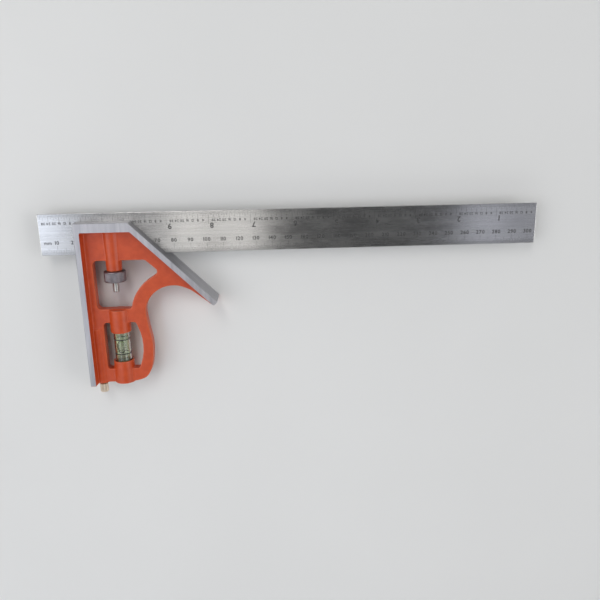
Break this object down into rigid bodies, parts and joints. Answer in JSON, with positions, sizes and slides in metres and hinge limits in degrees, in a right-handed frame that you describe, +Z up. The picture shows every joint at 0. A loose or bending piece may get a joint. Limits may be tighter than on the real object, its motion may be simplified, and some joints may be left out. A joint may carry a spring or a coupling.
{
  "type": "combination square",
  "caption": "Combination square: sliding graduated steel rule locked in a cast head with 90 and 45 degree faces, spirit level and scriber.",
  "frame": {"origin": "middle of the square's outline, on the surface it lies on", "axes": "+X along the rule, away from the 90 degree face; +Y from the foot of the head to its top; +Z up, through the thickness, towards the side with metric and inch scales"},
  "size_m": [0.3048, 0.115, 0.019],
  "materials": {
    "painted_casting": "semi-gloss orange enamel on a zinc casting, with ground bare faces",
    "satin_stainless": "satin, lengthways grain, dark etched graduations",
    "zinc_plated_steel": "zinc plated turned steel",
    "knurled_nickel": "nickel plated, diamond knurled",
    "spring_steel": "bright drawn wire",
    "clear_acrylic": "polished clear acrylic",
    "level_spirit": "clear green spirit",
    "plug_plastic": "matt moulded plastic",
    "needle_steel": "ground hardened steel",
    "brass": "dull turned brass"
  },
  "bodies": {
    "head": {"head_casting": "painted_casting", "vial_tube": "clear_acrylic", "vial_cap": "clear_acrylic", "vial_liquid": "level_spirit", "vial_plug": "plug_plastic", "scriber_bushing": "brass"},
    "rule": {"rule": "satin_stainless"},
    "lock_nut": {"lock_nut": "knurled_nickel"},
    "lock_bolt": {"lock_bolt": "zinc_plated_steel", "lock_spring": "spring_steel"},
    "scriber": {"scriber_needle": "needle_steel", "scriber_knob": "brass"}
  },
  "joints": [
    {"name": "rule_slide", "type": "slide", "parent": "head", "child": "rule", "axis": [1, 0, 0], "range_m": [-0.255, 0.036]},
    {"name": "lock_nut_turn", "type": "hinge", "parent": "head", "child": "lock_nut", "pos_m": [-0.11, 0.01875, 0.0095], "axis": [0, -1, 0], "range_deg": [0, 360]},
    {"name": "lock_bolt_lift", "type": "slide", "parent": "head", "child": "lock_bolt", "axis": [0, 1, 0], "range_m": [0, 0.0007], "deforming": ["lock_spring"]},
    {"name": "scriber_slide", "type": "slide", "parent": "head", "child": "scriber", "axis": [0, -1, 0], "range_m": [0, 0.04]}
  ],
  "couplings": [
    {"joint": "lock_bolt_lift", "follows": "lock_nut_turn", "m_per_rad": 0.0001114}
  ]
}
